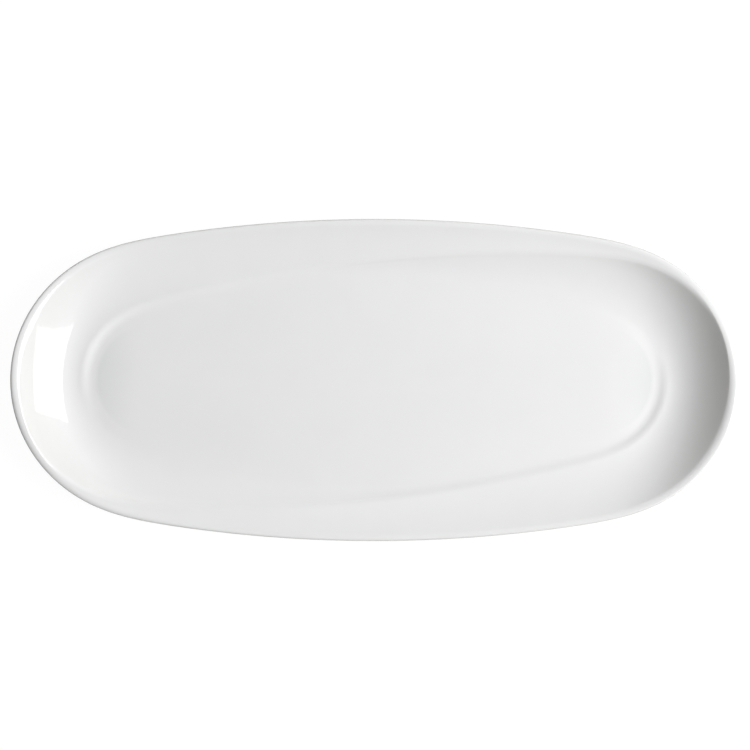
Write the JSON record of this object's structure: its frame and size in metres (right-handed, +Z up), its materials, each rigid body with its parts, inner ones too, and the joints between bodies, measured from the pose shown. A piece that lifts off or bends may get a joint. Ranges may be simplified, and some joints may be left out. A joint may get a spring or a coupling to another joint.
{
  "type": "celery dish",
  "caption": "Long oval white porcelain serving dish with low sides, upswept ends, a soft swirl crease round the well and a bare oval foot.",
  "frame": {"origin": "centre of the foot's ground face, at the middle of the underside", "axes": "+X along the dish, towards the right of the picture; +Y across it, towards the top of the picture; +Z up, out of the well"},
  "size_m": [0.311, 0.139, 0.023],
  "materials": {
    "glazed_porcelain": "clear gloss glaze over white porcelain",
    "bare_porcelain": "unglazed, ground flat"
  },
  "bodies": {
    "root": {"dish_body": "glazed_porcelain", "foot_ring": "bare_porcelain"}
  },
  "joints": []
}
